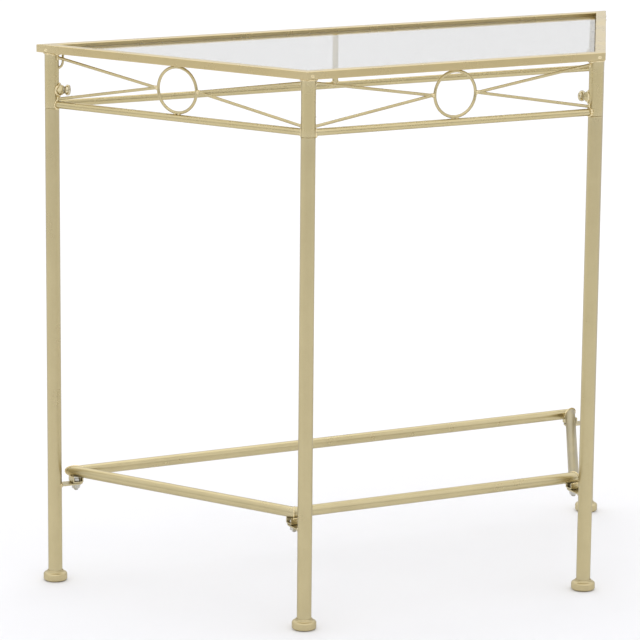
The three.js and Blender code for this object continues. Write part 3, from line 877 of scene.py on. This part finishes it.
def stretcher(rng):
    """Four tubes mitred into one frame, with a weld bead along each mitre."""
    order = ("front_left", "front_right", "rear_right", "rear_left")
    axes = [Vector((STUD[c].x, STUD[c].y)) for c in order]
    names = ("front", "right", "back", "left")
    welds = Solid()
    corner_rings = []
    for i in range(4):
        ring = []
        for t in around(64):
            p = inset_corner(axes, i, R_STRETCHER * math.cos(t))
            ring.append(Vector((p.x, p.y, STRETCHER_Z + R_STRETCHER * math.sin(t))))
        corner_rings.append(ring)
    for i, name in enumerate(names):
        start, end = corner_rings[i], corner_rings[(i + 1) % 4]
        tube = Solid()
        stations = [[a.lerp(b, k / 20) for a, b in zip(start, end)] for k in range(21)]
        tube.rings(stations, cap=True)
        tube.make(f"stretcher_tube_{name}_pipe", GOLD, stands_for=[f"stretcher_tube_{name}"], sharp=40)
    for ring in corner_rings:
        bead(welds, ring, 1.1 * MM, rng, pitch=2.4 * MM)
    # fillets between the tubes and the walls of the channels below them
    for c in CORNERS:
        o, d = STUD[c], LUG_DIR[c]
        side = Vector((-d.y, d.x, 0))
        for sign in (-1, 1):
            path = [Vector((o.x, o.y, STRETCHER_Z - 6.6 * MM)) + d * (sign * 7.2 * MM) + side * (w * MM)
                    for w in (-6 + 12 * k / 20 for k in range(21))]
            bead(welds, path, 1.2 * MM, rng, closed=False, pitch=2.6 * MM)
    welds.make("stretcher_welds", WELD_PAINTED_HIGHLIGHT, sharp=60)


RNG = random.Random(20)
top_frame()
spot_welds()
glass_pane()
for side_name in SIDES:
    apron_side(side_name, RNG)
for c in CORNERS:
    corner_post(c, RNG)
    weld_nut(c)
    clamp_washer(c)
    clamp_screw(c)
    leg(c)
    foot(c)
    lug(c, RNG)
    bracket(c, RNG)
    bolt(c)
wire_hook(RNG)
stretcher(RNG)

# ------------------------------------------------------------------ floor, light and camera


def stage_floor():
    """One plain pale floor."""
    mat, tree, bsdf = node_tree("pale_floor")
    coords = tree.nodes.new("ShaderNodeTexCoord").outputs["Object"]
    speckle = noise_tex(tree, coords, 3, 4)
    pale = ramp(tree, speckle, [(0.3, (0.84, 0.84, 0.835)), (0.7, (0.86, 0.86, 0.855))])
    link(tree, pale, bsdf.inputs["Base Color"])
    bsdf.inputs["Roughness"].default_value = 0.9
    bsdf.inputs["Specular IOR Level"].default_value = 0.0
    mesh = bpy.data.meshes.new("studio_floor")
    size, z = 14.0, -0.5 * MM
    corners = [(-size, -size, z), (size, -size, z), (size, size, z), (-size, size, z)]
    mesh.from_pydata(corners, [], [(0, 1, 2, 3)])
    mesh.materials.append(mat)
    obj = bpy.data.objects.new("studio_floor", mesh)
    SCENE.collection.objects.link(obj)


def area_light(name, place, target, size, power):
    data = bpy.data.lights.new(name, "AREA")
    data.shape = "RECTANGLE"
    data.size, data.size_y = size
    data.energy = power
    obj = bpy.data.objects.new(name, data)
    obj.location = place
    obj.rotation_euler = (Vector(target) - Vector(place)).to_track_quat("-Z", "Y").to_euler()
    SCENE.collection.objects.link(obj)


def sky(height, value, blue=1.0):
    """Colour stop: height is the sine of the elevation, from -1 below to 1 overhead."""
    return (height + 1) / 2, (value, value, value * blue)


# a dark strip lies along the horizon in front, where the white tent ends
WORLD_FRONT = [sky(-0.1, 0.20), sky(0.06, 0.14), sky(0.14, 0.90), sky(0.45, 1.15, 1.05), sky(1.0, 1.15, 1.05)]
WORLD_BACK = [sky(-0.1, 0.70), sky(0.12, 0.86), sky(0.3, 0.86), sky(0.5, 1.0, 1.03), sky(1.0, 1.15, 1.05)]


def studio():
    """Bright tent above and behind the table, with the darker open side of the room in front of it."""
    world = bpy.data.worlds.new("studio")
    SCENE.world = world
    world.use_nodes = True
    tree = world.node_tree
    background = tree.nodes["Background"]
    direction = tree.nodes.new("ShaderNodeTexCoord").outputs["Generated"]
    split = tree.nodes.new("ShaderNodeSeparateXYZ")
    link(tree, direction, split.inputs["Vector"])
    height = map_range(tree, split.outputs["Z"], 0.0, 1.0, -1.0, 1.0)
    front = ramp(tree, height, WORLD_FRONT)
    back = ramp(tree, height, WORLD_BACK)
    towards_back = map_range(tree, split.outputs["Y"], 0.0, 1.0, -0.35, 0.45)
    link(tree, mix_color(tree, towards_back, front, back), background.inputs["Color"])
    background.inputs["Strength"].default_value = 1.0
    area_light("top_softbox", (0.0, 0.4, 3.2), (0, 0.1, 0.6), (3.4, 3.0), 14)
    area_light("back_softbox", (1.5, 4.5, 4.0), (0.9, 2.6, 0.0), (6.0, 5.0), 40)


# seen from the front left and a little above, through a long lens
LENS = 200.05                            # focal length in mm on a 36 mm sensor
AZIMUTH, ELEVATION, ROLL = -26.721, 12.513, 0.54
DISTANCE = 4.7774
AIM_RIGHT, AIM_UP = -0.0941, -0.0095     # where the camera aims, from the table's axis at half its height
HALF_HEIGHT = 365 * MM


def camera():
    az, el, roll = (math.radians(v) for v in (AZIMUTH, ELEVATION, ROLL))
    towards = Vector((math.sin(az) * math.cos(el), -math.cos(az) * math.cos(el), math.sin(el)))
    right = Vector((math.cos(az), math.sin(az), 0))
    up = right.cross(-towards)
    target = right * AIM_RIGHT + up * AIM_UP + Vector((0, 0, HALF_HEIGHT))
    across = right * math.cos(roll) + up * math.sin(roll)
    upward = up * math.cos(roll) - right * math.sin(roll)
    data = bpy.data.cameras.new("camera")
    data.sensor_width = 36
    data.lens = LENS
    data.clip_end = 100
    obj = bpy.data.objects.new("camera", data)
    turn = Matrix((across, upward, towards)).transposed().to_4x4()
    obj.matrix_world = Matrix.Translation(target + towards * DISTANCE) @ turn
    SCENE.collection.objects.link(obj)
    SCENE.camera = obj


stage_floor()
studio()
camera()
